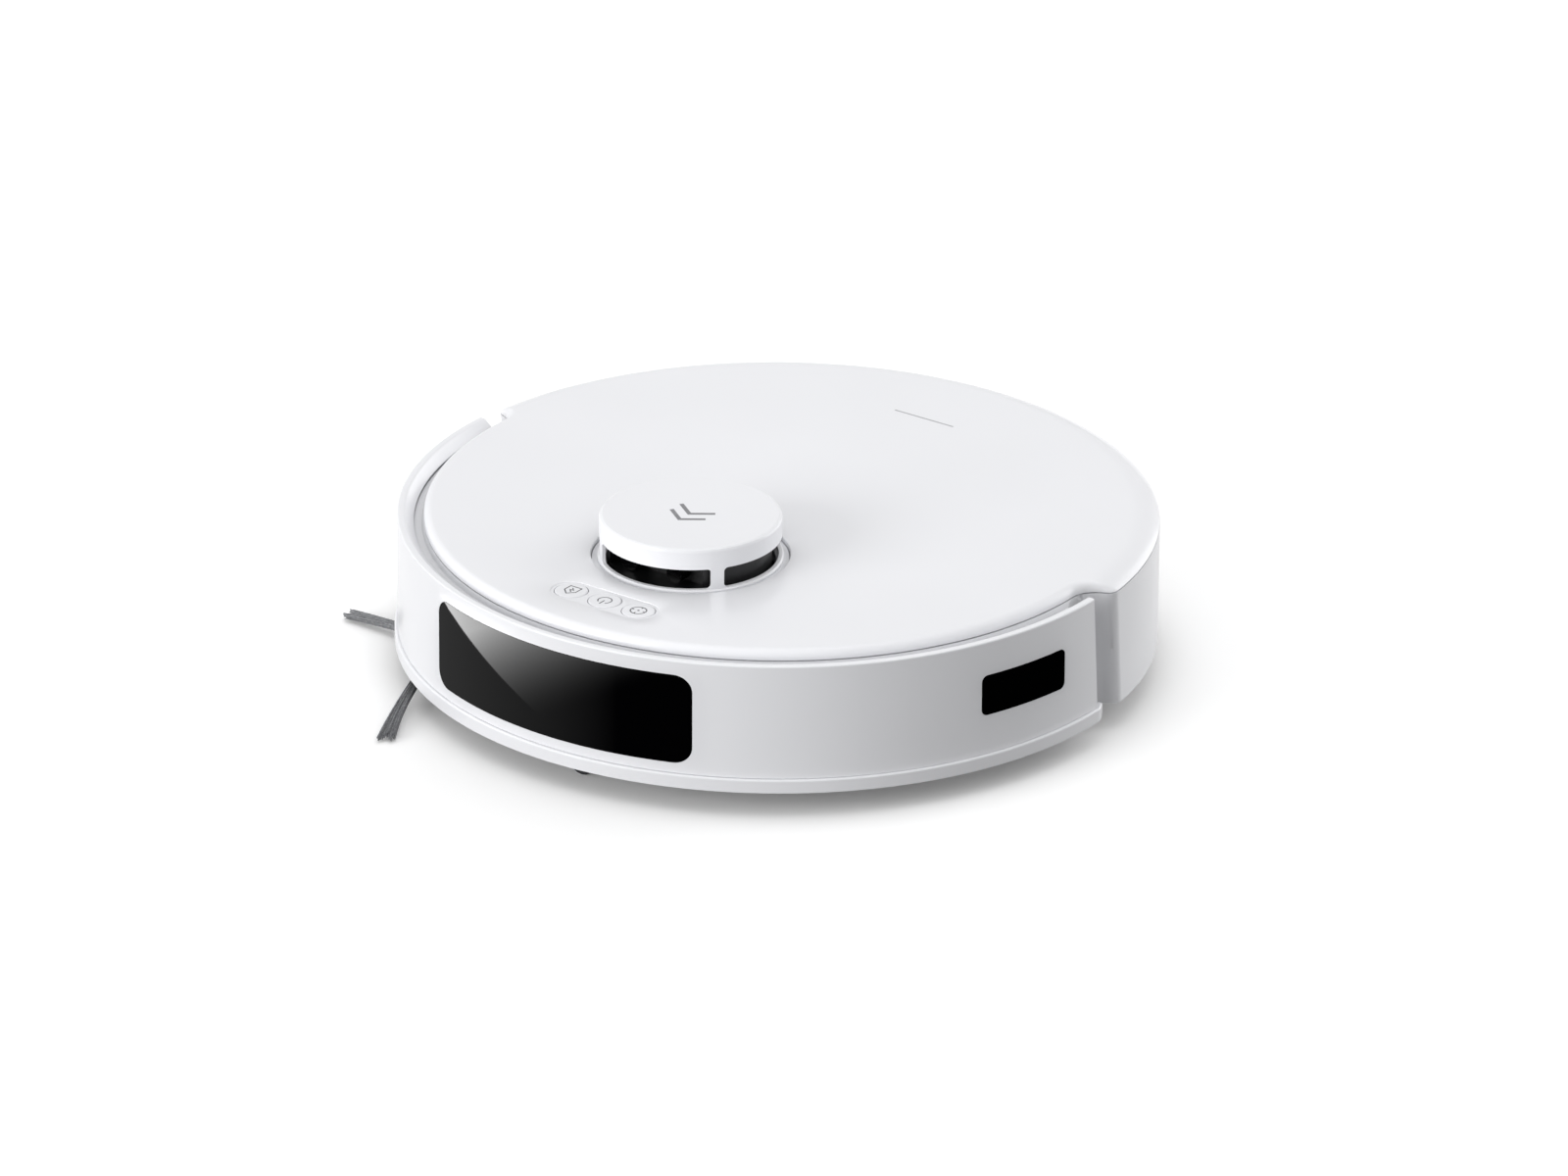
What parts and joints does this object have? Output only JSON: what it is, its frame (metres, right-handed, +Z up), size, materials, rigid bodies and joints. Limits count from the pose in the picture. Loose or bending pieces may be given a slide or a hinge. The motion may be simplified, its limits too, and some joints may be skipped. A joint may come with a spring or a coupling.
{
  "type": "robotic floor cleaner",
  "caption": "Round low robot floor cleaner: raised laser turret, sprung front bumper with dark windows, lift-off lid, push buttons, corner brush, drive wheels and slide-out mop.",
  "frame": {"origin": "on the floor under the middle of the round body", "axes": "+Z up from the floor, -Y towards the front bumper, +X towards the cleaner's own left side"},
  "size_m": [0.3608, 0.3586, 0.0956],
  "materials": {
    "shell_white": "satin white moulded shell",
    "trim_white": "fine matt white",
    "window_black": "polished infrared-clear black",
    "frame_grey": "grey structural plastic",
    "underside_white": "matt white base",
    "dark_plastic": "dark fine-grained plastic",
    "tyre_rubber": "ribbed rubber",
    "brush_rubber": "soft brush rubber",
    "bristle": "nylon filament",
    "steel": "plated steel",
    "contact": "gilt contact plate",
    "board_green": "circuit board",
    "cell_blue": "shrink-wrapped cells",
    "bin_smoke": "smoked clear bin",
    "tank_clear": "frosted tank",
    "filter_white": "pleated filter paper",
    "mop_fabric": "microfibre",
    "lens": "coated lens",
    "belt": "drive belt"
  },
  "bodies": {
    "chassis": {"base_plate": "underside_white", "rear_shell": "shell_white", "front_frame": "trim_white", "top_deck": "frame_grey", "deck_posts": "frame_grey", "frame_screws": "steel", "cliff_sensors": "window_black", "charge_contacts": "contact", "dock_sensor_window": "window_black", "main_board": "board_green", "battery_pack": "cell_blue", "bumper_switches": "dark_plastic", "button_switches": "board_green", "obstacle_sensor": "dark_plastic", "lidar_base": "frame_grey", "lidar_cover": "shell_white", "lidar_motor": "steel", "lidar_belt": "belt", "wheel_pins": "steel", "caster_socket": "underside_white", "brush_tunnel": "frame_grey", "brush_guard": "underside_white", "brush_motor": "dark_plastic", "side_brush_gearbox": "frame_grey", "fan_housing": "frame_grey", "fan_motor": "steel", "water_tank": "tank_clear"},
    "lid": {"lid": "shell_white", "lid_magnets": "steel"},
    "home_button": {"home_button": "shell_white"},
    "power_button": {"power_button": "shell_white"},
    "spot_button": {"spot_button": "shell_white"},
    "bumper": {"bumper_shell": "shell_white", "bumper_skirt": "shell_white", "front_window": "window_black", "side_window": "window_black"},
    "lidar_head": {"lidar_drum": "window_black", "lidar_lenses": "lens"},
    "lidar_pulley": {"lidar_motor_pulley": "dark_plastic"},
    "dust_box": {"dust_bin": "bin_smoke", "bin_cover": "dark_plastic", "dust_filter": "filter_white"},
    "fan_rotor": {"fan_impeller": "dark_plastic"},
    "main_brush": {"brush_core": "dark_plastic", "brush_blades": "brush_rubber"},
    "side_brush": {"side_brush_hub": "dark_plastic", "side_brush_bristles": "bristle"},
    "mop": {"mop_plate": "underside_white", "mop_cloth": "mop_fabric"},
    "caster_swivel": {"caster_fork": "dark_plastic", "caster_axle": "steel"},
    "caster_wheel": {"caster_wheel": "tyre_rubber"},
    "left_arm": {"left_wheel_arm": "frame_grey", "left_wheel_spring": "steel"},
    "left_wheel": {"left_wheel_hub": "dark_plastic", "left_wheel_tyre": "tyre_rubber"},
    "right_arm": {"right_wheel_arm": "frame_grey", "right_wheel_spring": "steel"},
    "right_wheel": {"right_wheel_hub": "dark_plastic", "right_wheel_tyre": "tyre_rubber"}
  },
  "joints": [
    {"name": "lid_lift", "type": "slide", "parent": "chassis", "child": "lid", "axis": [0, 0, 1], "range_m": [0, 0.12]},
    {"name": "dust_box_lift", "type": "slide", "parent": "chassis", "child": "dust_box", "axis": [0, 0, 1], "range_m": [0, 0.06]},
    {"name": "bumper_press", "type": "slide", "parent": "chassis", "child": "bumper", "axis": [0, 1, 0], "range_m": [0, 0.0035], "stiffness_N_per_m": 600},
    {"name": "lidar_spin", "type": "hinge", "parent": "chassis", "child": "lidar_head", "pos_m": [0, -0.0667, 0.075], "axis": [0, 0, 1], "continuous": true},
    {"name": "lidar_pulley_spin", "type": "hinge", "parent": "chassis", "child": "lidar_pulley", "pos_m": [0.052, -0.0667, 0.061], "axis": [0, 0, 1], "continuous": true},
    {"name": "fan_spin", "type": "hinge", "parent": "chassis", "child": "fan_rotor", "pos_m": [0.1, 0.092, 0.035], "axis": [0, 0, 1], "continuous": true},
    {"name": "main_brush_spin", "type": "hinge", "parent": "chassis", "child": "main_brush", "pos_m": [0, -0.012, 0.021], "axis": [1, 0, 0], "continuous": true},
    {"name": "side_brush_spin", "type": "hinge", "parent": "chassis", "child": "side_brush", "pos_m": [-0.107, -0.104, 0.01], "axis": [0, 0, 1], "continuous": true},
    {"name": "mop_slide", "type": "slide", "parent": "chassis", "child": "mop", "axis": [0, 1, 0], "range_m": [0, 0.11]},
    {"name": "caster_turn", "type": "hinge", "parent": "chassis", "child": "caster_swivel", "pos_m": [0, -0.148, 0.03], "axis": [0, 0, 1], "continuous": true},
    {"name": "caster_roll", "type": "hinge", "parent": "caster_swivel", "child": "caster_wheel", "pos_m": [0.00531, -0.14942, 0.011], "axis": [0.2588, 0.9659, 0], "continuous": true},
    {"name": "home_button_press", "type": "slide", "parent": "lid", "child": "home_button", "axis": [0, 0, -1], "range_m": [0, 0.0008], "stiffness_N_per_m": 400},
    {"name": "power_button_press", "type": "slide", "parent": "lid", "child": "power_button", "axis": [0, 0, -1], "range_m": [0, 0.0008], "stiffness_N_per_m": 400},
    {"name": "spot_button_press", "type": "slide", "parent": "lid", "child": "spot_button", "axis": [0, 0, -1], "range_m": [0, 0.0008], "stiffness_N_per_m": 400},
    {"name": "left_suspension", "type": "hinge", "parent": "chassis", "child": "left_arm", "pos_m": [0.095, 0.042, 0.04], "axis": [1, 0, 0], "range_deg": [0, 16], "stiffness_Nm_per_rad": 0.3, "springref_deg": 37.24},
    {"name": "left_wheel_spin", "type": "hinge", "parent": "left_arm", "child": "left_wheel", "pos_m": [0.113, 0, 0.031], "axis": [1, 0, 0], "continuous": true},
    {"name": "right_suspension", "type": "hinge", "parent": "chassis", "child": "right_arm", "pos_m": [-0.095, 0.042, 0.04], "axis": [1, 0, 0], "range_deg": [0, 16], "stiffness_Nm_per_rad": 0.3, "springref_deg": 37.24},
    {"name": "right_wheel_spin", "type": "hinge", "parent": "right_arm", "child": "right_wheel", "pos_m": [-0.113, 0, 0.031], "axis": [1, 0, 0], "continuous": true}
  ],
  "couplings": [
    {"joint": "dust_box_lift", "follows": "lid_lift", "ratio": 0.5},
    {"joint": "lidar_pulley_spin", "follows": "lidar_spin", "ratio": 4.5}
  ]
}
